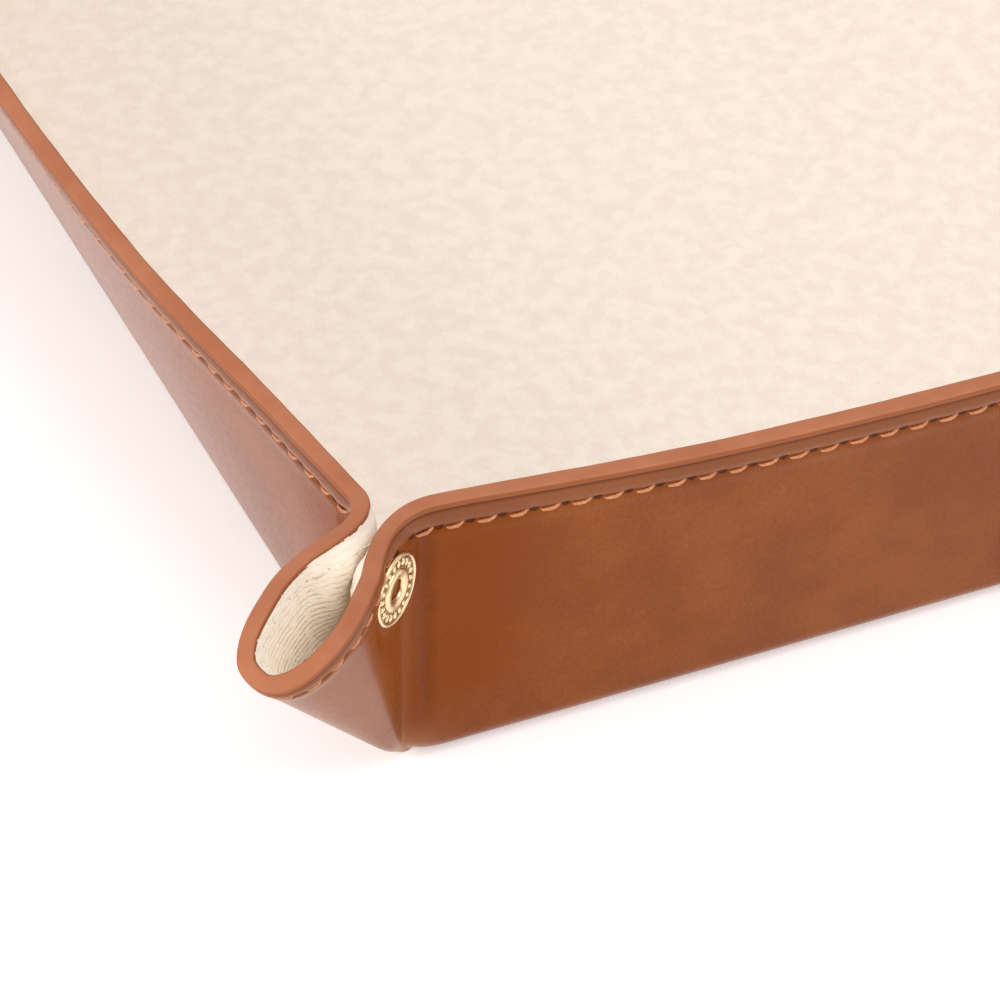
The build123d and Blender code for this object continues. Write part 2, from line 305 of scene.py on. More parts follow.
# Which columns each piece takes, counted from the middle of the right wall
QUARTER = columns // 4
SHORT_WALL, SHORT_LOOP = SHORT_COLUMNS[0], sum(SHORT_COLUMNS[:2])
TIP_COLUMN = sum(SHORT_COLUMNS)
LONG_LOOP, LONG_WALL = TIP_COLUMN + LONG_COLUMNS[2], TIP_COLUMN + sum(LONG_COLUMNS[1:])


def into_ear(column, way):
    """Distance along the rim from one column of each quarter, growing towards the ear."""
    starts = np.arange(columns) // QUARTER * QUARTER
    forward = np.where(np.arange(columns) // QUARTER % 2 == 0, 1, -1)
    reached = np.append(rim["s"], round_length)
    mark = reached[starts + np.where(forward > 0, column, QUARTER - column)]
    return way * forward * (rim["s"] - mark)


# Within the ear the edge is thinner, so all that lies under it sits closer to it
short_turn = into_ear(SHORT_WALL + CREASE_COLUMN, 1)
long_turn = into_ear(LONG_WALL - CREASE_COLUMN, -1)
ear_share = np.minimum(smooth(*THINNING_SPAN, short_turn), smooth(*THINNING_SPAN, long_turn))
rim["skew"] = rim["skew"] * (1 - EAR_THINNING * ear_share)

# The way across the nearest ear, for each column
SIDE_WAY = np.column_stack([SIDE * rim["corner"], np.zeros(columns)])


def in_ear(points):
    """The ear's own coordinates of points, one row for each column."""
    x = points[:, 0] * rim["corner"][:, 0] - LENGTH / 2
    y = points[:, 1] * rim["corner"][:, 1] + WIDTH / 2
    return x * OUT[0] + y * OUT[1], x * SIDE[0] + y * SIDE[1]


def row_points(row):
    """Outer face of the sheet along one row, its normal, and the distance from the rim."""
    top, down, foot, outward = rim["top"], rim["down"], rim["foot"], rim["outward"]
    length, fold = rim["length"], rim["fold"]
    floor_way = np.column_stack([outward[:, 1], -outward[:, 0], np.zeros(columns)])
    foot_stride = np.linalg.norm(rim["foot_step"], axis=1)
    floor_step = floor_way * np.maximum(foot_stride, LEAST_STRIDE)[:, None]
    run_end = length - fold
    p3, p0 = foot - down * fold[:, None], foot - outward * fold[:, None]
    if row <= WALL_FOOT:
        near = np.minimum(BAND * rim["skew"], run_end * LARGEST_BAND_SHARE)
        distance = near * row if row <= BAND_END else near + (run_end - near) * (row - BAND_END)
        points = top + down * distance[:, None]
        share = (distance / length)[:, None]
        step = rim["step"] * (1 - share) + rim["foot_step"] * share
        tangent = down
    elif row <= FOLD_END:
        t = row - WALL_FOOT
        reach = (4 / 3 * np.tan(rim["fold_turn"] / 4))[:, None] * FOLD
        p2, p1 = p3 + down * reach, p0 + outward * reach
        points = ((1 - t)**3 * p3 + 3 * (1 - t)**2 * t * p2 + 3 * (1 - t) * t * t * p1 + t**3 * p0)
        tangent = unit((1 - t)**2 * (p2 - p3) + 2 * (1 - t) * t * (p1 - p2) + t * t * (p0 - p1))
        share = (run_end / length)[:, None]
        step = (rim["step"] * (1 - share) + rim["foot_step"] * share) * (1 - t) + floor_step * t
        distance = run_end + t * rim["fold_turn"] * FOLD
    else:
        t = row - FOLD_END
        points = p0 + (rim["inner"] - p0) * t
        tangent = -outward
        step = floor_step
        under = t * np.linalg.norm(rim["inner"] - p0, axis=1)
        distance = run_end + rim["fold_turn"] * FOLD + under
    normal = unit(np.cross(step, tangent))
    u, v = in_ear(points)
    from_snap = np.hypot(u - SNAP_REACH, points[:, 2] - SNAP_HEIGHT)
    seat = smooth(SEAT_END, SEAT_FLAT, from_snap) * (np.abs(v - SNAP_SHIFT) < SEAT_SPAN)
    half = np.sign(v - SNAP_SHIFT)
    points = points + SIDE_WAY * (seat * (SNAP_SHIFT + half * OUTER_SEAT - v))[:, None]
    blunt = BLUNT_RISE * np.exp(-((u - BLUNT_PLACE)**2 + v**2) / BLUNT_REACH**2)
    blunt = blunt * smooth(BLUNT_TOP, 0.0, points[:, 2])
    points = points + np.array((0, 0, 1.0)) * blunt[:, None]
    normal = unit(normal * (1 - seat[:, None]) + SIDE_WAY * (seat * half)[:, None])
    return points, normal, distance


def sheet_depth(row, points, normal, depth):
    """Depth below the outer face, less where the two halves of the ear crowd each other."""
    _, v = in_ear(points)
    share = np.clip(points[:, 2] / HEIGHT, 0, 1)
    middle = FOOT_SHIFT + (EAR_SHIFT - FOOT_SHIFT) * share
    sideways = np.abs((normal * SIDE_WAY).sum(1))
    round_tip = LEAST_SIDEWAYS * (TIP_ROOM * share + FOOT_ROOM + FLOOR_ROOM * smooth(2.2, 3.0, row))
    room = ROOM_SHARE * (np.abs(v - middle) + round_tip) / (sideways + LEAST_SIDEWAYS)
    squeeze = (SHEET / np.maximum(room, LEAST_ROOM))**SQUEEZE_POWER
    return depth / (1 + squeeze)**(1 / SQUEEZE_POWER)


# Meshes
def mesh_from(shape, name):
    mesh = bpy.data.meshes.new(name)
    shape.to_mesh(mesh)
    shape.free()
    return mesh


def places(mesh):
    """Where a mesh's vertices are, one row for each."""
    place = np.empty(len(mesh.vertices) * 3)
    mesh.vertices.foreach_get("co", place)
    return place.reshape(-1, 3)


def move(mesh, place):
    """Moves a mesh's vertices to places given in millimetres."""
    mesh.vertices.foreach_set("co", (place * MM).ravel())


def shade_by(mesh, name, values):
    """Gives each vertex a value that its material varies with."""
    values = values.astype(np.float32)
    mesh.attributes.new(name, "FLOAT", "POINT").data.foreach_set("value", values)


def raised(shape, height):
    """Turns a flat shape into a closed block."""
    lifted = bmesh.ops.extrude_face_region(shape, geom=shape.faces[:])
    risen = [v for v in lifted["geom"] if isinstance(v, bmesh.types.BMVert)]
    bmesh.ops.translate(shape, verts=risen, vec=(0, 0, height))


def block_mesh(name, shape):
    """A closed block of columns and rows, with its vertices at the places in shape. Also gives
    each vertex's column and row."""
    across, down = shape.shape[0] - 1, shape.shape[1] - 1
    block = bmesh.new()
    bmesh.ops.create_grid(block, x_segments=across, y_segments=down, size=0.5)
    raised(block, 1)
    bmesh.ops.recalc_face_normals(block, faces=block.faces[:])
    mesh = mesh_from(block, name)
    place = places(mesh)
    i = np.rint((place[:, 0] + 0.5) * across).astype(int)
    j = np.rint((place[:, 1] + 0.5) * down).astype(int)
    k = np.rint(place[:, 2]).astype(int)
    move(mesh, shape[i, j, k])
    return mesh, i, j


def finished(mesh, body, material, nodes=(), sharp=50):
    """Sets a shaped mesh up as a piece of the tray."""
    shape = bmesh.new()
    shape.from_mesh(mesh)
    if shape.calc_volume(signed=True) < 0:
        bmesh.ops.reverse_faces(shape, faces=shape.faces[:])
    shape.to_mesh(mesh)
    shape.free()
    mesh.shade_smooth()
    mesh.set_sharp_from_angle(angle=math.radians(sharp))
    mesh.materials.append(material)
    piece = bpy.data.objects.new(mesh.name, mesh)
    bpy.context.scene.collection.objects.link(piece)
    if isinstance(body, str):
        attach(piece, body)
    else:
        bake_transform(piece)
    if nodes:
        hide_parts(*nodes)
    return piece


def bent_block(name, first, last, rows, layer_offsets, shades):
    """A block bent onto the sheet between two columns. For each row, layer_offsets gives the
    heights of its two layers over the outer face, and shades what its finish varies with."""
    shape = np.empty((last - first + 1, len(rows), 2, 3))
    run = np.empty((last - first + 1, len(rows), 2))
    picked = np.arange(first, last + 1) % columns
    shaded = {}
    for j, row in enumerate(rows):
        points, normal, distance = row_points(row)
        for layer, height in enumerate(layer_offsets(row, points, normal, distance)):
            shape[:, j, layer] = (points + normal * height[:, None])[picked]
        run[:, j, 0] = rim["s"][picked] / pitch
        run[:, j, 1] = (distance / rim["skew"])[picked]
        for key, value in shades(row, points, distance).items():
            shaded.setdefault(key, np.empty(run.shape[:2]))[:, j] = value[picked]
    if picked[-1] < picked[0]:
        run[picked < picked[0], :, 0] += stitch_count
    mesh, i, j = block_mesh(name, shape)
    corners = np.empty(len(mesh.loops), int)
    mesh.loops.foreach_get("vertex_index", corners)
    mesh.uv_layers.new(name="rim_run").data.foreach_set("uv", run[i, j][corners].ravel())
    for key, value in shaded.items():
        shade_by(mesh, key, value[i, j])
    return mesh


# Materials
def colour(red, green, blue):
    """A colour given in screen values from 0 to 255."""
    linear = [c / 255 / 12.92 if c <= 10 else ((c / 255 + 0.055) / 1.055) ** 2.4
              for c in (red, green, blue)]
    return (*linear, 1)


def feed(socket, value):
    """Links a socket, or sets it where the value is plain."""
    if isinstance(value, bpy.types.NodeSocket):
        socket.id_data.links.new(value, socket)
    else:
        socket.default_value = value


def add(tree, kind, settings=None, **inputs):
    made = tree.nodes.new(kind)
    for key, value in (settings or {}).items():
        setattr(made, key, value)
    for key, value in inputs.items():
        feed(made.inputs[key.replace("_", " ")], value)
    return made


def math_node(operation, first, *others):
    made = add(first.id_data, "ShaderNodeMath", {"operation": operation})
    for socket, value in zip(made.inputs, (first, *others)):
        feed(socket, value)
    return made.outputs[0]


def times(first, second):
    return math_node("MULTIPLY", first, second)


def mapped(value, low, high, to_low=0.0, to_high=1.0):
    return add(value.id_data, "ShaderNodeMapRange", {"interpolation_type": "SMOOTHSTEP"},
               Value=value, From_Min=low, From_Max=high, To_Min=to_low,
               To_Max=to_high).outputs[0]


def mixed(share, first, second, blend="MIX"):
    """Two colours by a share. The share or the first colour has to be a socket."""
    tree = next(value.id_data for value in (share, first) if not isinstance(value, float))
    made = add(tree, "ShaderNodeMix", {"data_type": "RGBA", "blend_type": blend})
    for index, value in ((0, share), (6, first), (7, second)):
        feed(made.inputs[index], value)
    return made.outputs[2]


def noise(vector, scale, detail=3.0, rough=0.5):
    return add(vector.id_data, "ShaderNodeTexNoise", Vector=vector, Scale=scale, Detail=detail,
               Roughness=rough).outputs[0]


def shade(tree, name):
    return add(tree, "ShaderNodeAttribute", {"attribute_name": name}).outputs["Fac"]


def group(name, inputs, outputs):
    made = bpy.data.node_groups.new(name, "ShaderNodeTree")
    for label, kind, value in inputs:
        socket = made.interface.new_socket(label, in_out="INPUT", socket_type=kind)
        if value is not None:
            socket.default_value = value
    for label in outputs:
        made.interface.new_socket(label, in_out="OUTPUT", socket_type=FLOAT)
    return made, made.nodes.new("NodeGroupInput").outputs, made.nodes.new("NodeGroupOutput").inputs


def use_group(tree, made, **inputs):
    return add(tree, "ShaderNodeGroup", {"node_tree": made}, **inputs).outputs


FLOAT, VECTOR = "NodeSocketFloat", "NodeSocketVector"
WHITE = (1, 1, 1, 1)


def stitch_holes_group():
    """Holes between the stitches, on a map of stitches along the rim and millimetres below it."""
    tree, given, out = group("stitch_holes", [
        ("Run", VECTOR, None), ("Drop", FLOAT, 2.85), ("Radius", FLOAT, 0.5),
        ("Flatness", FLOAT, 1.0)], ["Hole", "Distance"])
    parts = add(tree, "ShaderNodeSeparateXYZ", Vector=given["Run"]).outputs
    phase = math_node("FRACT", math_node("ADD", parts[0], 0.5))
    sideways = times(math_node("SUBTRACT", phase, 0.5), pitch)
    drop = times(math_node("SUBTRACT", parts[1], given["Drop"]), given["Flatness"])
    squared = math_node("ADD", times(sideways, sideways), times(drop, drop))
    share = math_node("DIVIDE", math_node("SQRT", squared), given["Radius"])
    feed(out["Hole"], mapped(share, 1.35, 0.65))
    feed(out["Distance"], parts[1])
    return tree


def pebble_grain_group():
    """The small pebbles of the leather's grain, with broad patches and fine specks."""
    tree, given, out = group("pebble_grain", [("Place", VECTOR, None), ("Scale", FLOAT, 900.0)],
                             ["Height", "Patches", "Fine"])
    place, scale = given["Place"], given["Scale"]
    cells = add(tree, "ShaderNodeTexVoronoi", {"feature": "SMOOTH_F1"}, Vector=place, Scale=scale,
                Smoothness=0.6)
    fine = noise(place, times(scale, 1.7), 4.0, 0.6)
    height = math_node("ADD", times(cells.outputs["Distance"], 0.7), times(fine, 0.5))
    feed(out["Height"], height)
    feed(out["Patches"], noise(place, times(scale, 0.05), 3.0, 0.55))
    feed(out["Fine"], fine)
    return tree


def material(name, **settings):
    """A new material, its node tree, its shader and its texture coordinates."""
    made = bpy.data.materials.new(name)
    made.use_nodes = True
    tree = made.node_tree
    shader = tree.nodes["Principled BSDF"]
    for key, value in settings.items():
        feed(shader.inputs[key.replace("_", " ")], value)
    return made, tree, shader.inputs, tree.nodes.new("ShaderNodeTexCoord").outputs


def bumped(shader, height, strength, distance, under=None):
    bump = add(height.id_data, "ShaderNodeBump", Height=height, Strength=strength,
               Distance=distance, **({} if under is None else {"Normal": under})).outputs[0]
    feed(shader["Normal"], bump)
    return bump


holes_group = stitch_holes_group()
grain_group = pebble_grain_group()


def leather_material():
    made, tree, shader, place = material("tan_leather", Specular_IOR_Level=0.02, Coat_IOR=1.3,
                                         Coat_Roughness=0.2)
    where = place["Object"]
    grain = use_group(tree, grain_group, Place=where, Scale=1150.0)
    holes = use_group(tree, holes_group, Run=place["UV"], Drop=STITCH_DROP - 0.12, Radius=0.55,
                      Flatness=1.8)
    speckle = mixed(mapped(grain["Fine"], 0.35, 0.7), colour(165, 150, 140), WHITE)
    wrinkles = mapped(noise(where, 1400.0, 4.0, 0.65), 0.3, 0.7, 0.6, 1.0)
    # Painted shade in the creases where the ear turns out, broken up by fine wrinkles
    crease = times(shade(tree, "crease"), wrinkles)
    band = mapped(holes["Distance"], 3.5, 3.0)
    # Painted shadow in a thin line just under the edge coat
    shadow_under_edge = mapped(holes["Distance"], 1.55, 1.0)

    base = mixed(mapped(grain["Patches"], 0.35, 0.65), colour(132, 64, 14), colour(145, 76, 22))
    base = mixed(0.25, base, speckle, "MULTIPLY")
    for mask, strength, tone in (
            # a darker, deeper tone round the creases
            (shade(tree, "near_crease"), 0.7, colour(132, 62, 6)),
            # painted shade in the creases
            (crease, 0.7, colour(106, 50, 14)),
            # pale painted reflection of the white table on the foot of the ear
            (shade(tree, "painted_reflection"), 0.5, colour(212, 165, 130)),
            (band, 0.5, colour(134, 84, 58)),
            # painted shadow under the edge coat
            (shadow_under_edge, 0.7, colour(104, 52, 28)),
            # painted shade in the stitch holes
            (holes["Hole"], 1.0, colour(88, 36, 14))):
        base = mixed(times(mask, strength), base, tone)
    feed(shader["Base Color"], base)
    feed(shader["Roughness"], mapped(grain["Height"], 0.2, 0.9, 0.28, 0.42))
    feed(shader["Coat Weight"], mapped(shade(tree, "near_crease"), 0.1, 1.0, 0.7, 0.35))

    under = bumped(shader, grain["Height"], 0.22, 0.00018)
    near_corner = times(shade(tree, "near_crease"), noise(where, 1700.0, 4.0, 0.6))
    under = bumped(shader, near_corner, 0.45, 0.0003, under)
    bumped(shader, times(holes["Hole"], -1.0), 0.9, 0.0005, under)
    return made


def coat_material():
    made, tree, shader, place = material("edge_coat", Roughness=0.5, Specular_IOR_Level=0.25)
    grain = use_group(tree, grain_group, Place=place["Object"], Scale=2600.0)
    base = mixed(mapped(grain["Patches"], 0.3, 0.7), colour(168, 101, 68), colour(178, 111, 77))
    # The bead's sides are darker: partly the brown leather showing there, partly painted shade
    # where the light from above misses them
    base = mixed(mapped(shade(tree, "side"), 0.7, 0.97), base, colour(146, 80, 40))
    feed(shader["Base Color"], base)
    bumped(shader, grain["Patches"], 0.3, 0.0002)
    return made


def pile_ribs(tree, run):
    """In the ears the lining's pile lies in broken diagonal ribs, deeper further down. Their
    valleys get painted shade.
    """
    parts = add(tree, "ShaderNodeSeparateXYZ", Vector=run).outputs
    reach, drop = times(parts[0], pitch), parts[1]
    over = math_node("SUBTRACT", times(drop, 0.996), times(reach, 0.09))
    onward = math_node("ADD", times(drop, 0.09), times(reach, 0.996))
    stretched = add(tree, "ShaderNodeCombineXYZ", X=times(over, 1.1), Y=times(onward, 0.55))
    dashes = noise(stretched.outputs[0], 1.0, 2.0, 0.6)
    swing = math_node("MULTIPLY_ADD", dashes, 3.0, times(over, 2 * math.pi))
    valley = mapped(math_node("SINE", swing), -0.5, 1.0)
    broken = times(valley, mapped(dashes, 0.4, 0.58))
    deeper = times(shade(tree, "ribs"), mapped(drop, 2.0, 12.0, 0.35, 1.0))
    return times(broken, deeper)


def suede_material():
    made, tree, shader, place = material("cream_suede", Roughness=0.95, Specular_IOR_Level=0.2,
                                         Sheen_Weight=0.2, Sheen_Roughness=0.6)
    mottle = noise(place["Object"], 320.0, 3.0, 0.55)
    fibre = noise(place["Object"], 2600.0, 4.0, 0.7)
    ribs = pile_ribs(tree, place["UV"])
    holes = use_group(tree, holes_group, Run=place["UV"], Drop=INNER_DROP, Radius=0.2)
    base = mixed(mapped(mottle, 0.35, 0.65), colour(236, 221, 207), colour(242, 229, 216))
    base = mixed(mapped(fibre, 0.45, 0.25, 0.0, 0.25), base, colour(214, 190, 160))
    # Painted light: the lining in the ears is painted paler, standing in for light reaching into
    # them
    base = mixed(shade(tree, "ribs"), base, colour(254, 243, 228))
    # Painted shade: golden shade in the rib valleys, stronger further down the ear
    base = mixed(times(ribs, 0.5), base, colour(232, 198, 150))
    # painted shade in the stitch holes
    base = mixed(times(holes["Hole"], 0.5), base, colour(150, 112, 80))
    feed(shader["Base Color"], base)
    under = bumped(shader, fibre, 0.5, 0.0002)
    under = bumped(shader, mottle, 0.2, 0.0004, under)
    bumped(shader, times(ribs, -1.0), 0.5, 0.0003, under)
    return made


def thread_material(name, dark, light):
    made, _, shader, place = material(name, Roughness=0.7)
    fibre = noise(place["Object"], 3500.0, 3.0, 0.6)
    feed(shader["Base Color"], mixed(mapped(fibre, 0.35, 0.65), dark, light))
    bumped(shader, fibre, 0.5, 0.0002)
    return made


def brass_material():
    made, tree, shader, place = material("pale_brass", Metallic=1.0)
    smear = noise(place["Object"], 700.0, 3.0, 0.6)
    base = mixed(mapped(smear, 0.3, 0.7), colour(232, 206, 160), colour(246, 224, 182))
    # Painted shade in the groove between the beads and down the hollow barrel
    base = mixed(times(shade(tree, "painted_shade"), 0.85), base, colour(120, 74, 38))
    feed(shader["Base Color"], base)
    feed(shader["Roughness"], mapped(smear, 0.3, 0.7, 0.18, 0.32))
    bumped(shader, smear, 0.15, 0.0001)
    return made


def board_material():
    made, _, shader, place = material("grey_board", Roughness=0.9)
    pulp = noise(place["Object"], 900.0, 5.0, 0.7)
    feed(shader["Base Color"], mixed(pulp, colour(120, 112, 100), colour(150, 142, 128)))
    bumped(shader, pulp, 0.4, 0.0002)
    return made


leather, coat, suede = leather_material(), coat_material(), suede_material()
thread = thread_material("tan_thread", colour(190, 122, 80), colour(212, 146, 104))
inner_thread = thread_material("cream_thread", colour(228, 212, 194), colour(238, 225, 210))
brass, board = brass_material(), board_material()
for slot in frame["nodes"]["floor_board"].material_slots:
    slot.material = board

JOINTS = {joint["name"]: joint for joint in frame["joints"]}


def across_fold(name, parent, child, start_column, way_column):
    """Where a blend over an ear's fold starts and ends: square to it, and as far past as before."""
    place, axis = np.array(JOINTS[name]["pos_m"]), unit(np.array(JOINTS[name]["axis"]))
    start, beyond = (rim["top"][column % columns] * MM for column in (start_column, way_column))
    way = beyond - start
    way = unit(way - axis * (way @ axis))
    reach = abs((start - place) @ way)
    return parent, child, tuple(place - way * reach), tuple(place + way * reach)


def at_wall_fold(wall, sx, sy):
    """Where a wall's blend with the floor starts and ends."""
    half = np.array((sx * LENGTH / 2, -sy * WIDTH / 2, 0)) * MM
    turn = FOLD * MM
    inward = -np.sign(half)
    return "floor", wall, tuple(half + inward * turn), tuple(half + np.array((0, 0, turn)))


def corner_ways(corner):
    """Which way a corner lies from the tray's middle: right or left, then front or back."""
    return (1 if "right" in corner else -1), (1 if "front" in corner else -1)


def pieces_round_rim():
    """For each stretch of the sheet: its name, the bodies that it bends between, its first and
    last column and, in an ear, the bodies that its foot bends between."""
    found = []
    walls = (("right_wall", 1, 0), ("front_wall", 0, 1), ("left_wall", -1, 0), ("back_wall", 0, -1))
    for index, (wall, sx, sy) in enumerate(walls):
        centre = index * QUARTER
        half = SHORT_WALL if index % 2 == 0 else QUARTER - LONG_WALL
        found.append((wall, at_wall_fold(wall, sx, sy), centre - half, centre + half, None))
    for index, corner in enumerate(("front_right", "front_left", "back_left", "back_right")):
        start, flip = index * QUARTER, index % 2 == 1

        def column(a):
            return start + QUARTER - a if flip else start + a

        def span(a, b):
            return sorted((column(a), column(b)))

        sx, sy = corner_ways(corner)
        side_y, side_x = corner.split("_")
        for stem, wall, wall_column, loop_column, foot_ways in (
                (f"{corner}_short", f"{side_x}_wall", SHORT_WALL, SHORT_LOOP, (sx, 0)),
                (f"{corner}_long", f"{side_y}_wall", LONG_WALL, LONG_LOOP, (0, sy))):
            just_past = (wall_column * 5 + loop_column) // 6
            panel_bend = across_fold(f"{stem}_panel_fold", wall, f"{stem}_panel",
                                     column(wall_column), column(just_past))
            roll_bend = across_fold(f"{stem}_roll_fold", f"{stem}_panel", f"{stem}_roll",
                                    column(loop_column), column(TIP_COLUMN))
            foot = at_wall_fold(wall, *foot_ways)
            found.append((f"{stem}_panel", panel_bend, *span(wall_column, loop_column), foot))
            found.append((f"{stem}_roll", roll_bend, *span(loop_column, TIP_COLUMN), foot))
    return found


# Leather and lining
def crease_distance(distance):
    """Distance along the rim from the nearest crease where an ear turns out of a wall. It wanders
    a little on its way down."""
    wander = 0.3 * np.sin(distance * 0.9) + 0.2 * np.sin(distance * 2.3 + 1)
    return np.where(np.abs(short_turn) < np.abs(long_turn), short_turn, long_turn) + wander


def leather_offsets(row, points, normal, distance):
    """The leather's face: puffed under the edge coat, drawn in along the stitches, and creased
    where the ear turns out."""
    drop = distance / rim["skew"]
    wave = 0.5 - 0.5 * np.cos(2 * np.pi * rim["s"] / pitch)
    puff = 0.24 * mound(drop, 2.3, 0.75) + 0.12 * mound(drop, 4.9, 0.7)
    tuck = -0.2 * smooth(1.5, 0.85, drop) - 0.24 * mound(drop, STITCH_DROP, 0.32)
    scallop = 0.12 * wave * mound(drop, 3.6, 1.1)
    beside = crease_distance(distance)
    reach = smooth(2.0, 5.0, drop) * smooth(4.0, 14.0, points[:, 2])
    crease = reach * (0.1 * mound(np.abs(beside), 1.7, 0.9) - 0.22 * mound(beside, 0, 0.9))
    face = np.where(row <= BAND_END, puff + tuck + scallop, 0) + (crease if row < WALL_FOOT else 0)
    back = -sheet_depth(row, points, normal, LEATHER)
    return face, np.minimum(back, face - LEAST_LEATHER)


def leather_shades(row, points, distance):
    """Painted shade in the ear's creases, a darker tone round them, and a pale painted reflection
    of the table on the corner that it stands on."""
    beside = crease_distance(distance)
    low = smooth(2.0, 14.0, points[:, 2]) * smooth(2.5, 4.5, distance / rim["skew"])
    u, _ = in_ear(points)
    return {"crease": low * mound(beside, 0.6, 1.5), "near_crease": low * mound(beside, 0, 16.0),
            "painted_reflection": smooth(7.5, 1.0, points[:, 2]) * mound(u, 1.5, 4.5)}


def suede_offsets(row, points, normal, distance):
    """The lining: ragged under the edge coat, and swelling over the snap to close the ear."""
    sunk = (BOARD_TOP - LEATHER) * smooth(3.0, 4.0, np.full(columns, float(row)))
    top = -sheet_depth(row, points, normal, SHEET)
    back = -sheet_depth(row, points, normal, LEATHER)
    u, v = in_ear(points)
    z = points[:, 2]
    near = np.abs(v) < 9
    over_snap = mound(u, 5.0, 4.0, 4) * mound(z, 38.3, 2.0, 4) * near
    past_short = 1.0 * mound(u, 10.5, 3.2, 4) * mound(z, 37.5, 3.2, 4) * near
    past_long = 1.2 * mound(u, 10.5, 3.0, 4) * mound(z, 35.5, 4.5, 4) * near
    swell = np.where(v < SNAP_SHIFT, 1.25 * over_snap + past_long, 0.35 * over_snap + past_short)
    ragged = 0.1 * np.sin(rim["s"] * 4.1) * np.sin(rim["s"] * 1.37 + row * 40) * (row < BAND_END)
    return top - sunk - swell + ragged, back - sunk


def suede_shades(row, points, distance):
    return {"ribs": ear_share * smooth(3.2, 2.6, row)}


def above_foot(rows):
    return [row for row in rows if row < FOOT_START] + [FOOT_START]


def sheet_pieces(name, stretch, rows, offsets, shades, finish, node):
    """One stretch of leather or lining. In an ear its foot is a piece apart."""
    bend, first, last, foot = stretch
    parts = [(name, rows, bend, (node,))]
    if foot is not None:
        below_foot = [FOOT_START] + [row for row in rows if row > FOOT_START]
        parts = [(name, above_foot(rows), bend, (node,)), (f"{name}_foot", below_foot, foot, ())]
    return [finished(bent_block(part, first, last, chosen, offsets, shades), bodies,
                     finish, nodes) for part, chosen, bodies, nodes in parts]


def declare_sheet(piece):
    """A piece of lining, cut flat and bonded down. Works out its own area, half of its closed
    surface, but nothing uses it.
    """
    shape = bmesh.new()
    shape.from_mesh(piece.data)
    area = sum(face.calc_area() for face in shape.faces) / 2
    shape.free()


def lining_piece(stem, stretch):
    made = sheet_pieces(f"{stem}_inside", stretch, SUEDE_ROWS, suede_offsets, suede_shades,
                        suede, f"{stem}_lining")
    declare_sheet(made[0])


def edge_piece(stem, stretch):
    """The rounded, sealed edge: a bead bent along the rim."""
    bend, first, last, _ = stretch
    picked = np.arange(first, last + 1) % columns
    points, normal, _ = row_points(0.0)
    depth = sheet_depth(0.0, points, normal, SHEET)
    shape = np.empty((last - first + 1, len(EDGE_TURNS), 2, 3))
    uneven = 0.04 * np.sin(rim["s"] * 0.37) + 0.03 * np.sin(rim["s"] * 0.83 + 1)
    for j, turn in enumerate(EDGE_TURNS):
        lifted, sideways = (math.copysign(abs(way)**EDGE_ROUND, way)
                            for way in (math.sin(turn), math.cos(turn)))
        for layer, size in enumerate((1.0, EDGE_CORE)):
            width = (depth / 2 + EDGE_PROUD + uneven * 0.5) * size
            drop = EDGE_HALF - EDGE_HALF * size * lifted
            at = points + rim["down"] * (drop * rim["skew"])[:, None]
            at = at + normal * (-depth / 2 + width * sideways)[:, None]
            shape[:, j, layer] = at[picked]
    mesh, _, j = block_mesh(f"{stem}_edge", shape)
    shade_by(mesh, "side", np.abs(np.cos(EDGE_TURNS[j])))
    finished(mesh, bend, coat)


STITCH_ROW = STITCH_DROP / BAND
stitch_line, rim["stitch_normal"], _ = row_points(STITCH_ROW)
rim["lining_height"] = suede_offsets(STITCH_ROW, stitch_line, rim["stitch_normal"], None)[0]


def round_rim(key, s):
    """The rim's values at any distance along it."""
    values = rim[key].reshape(columns, -1)
    return spread(np.vstack([values, values[:1]]), s % round_length,
                  np.append(rim["s"], round_length))


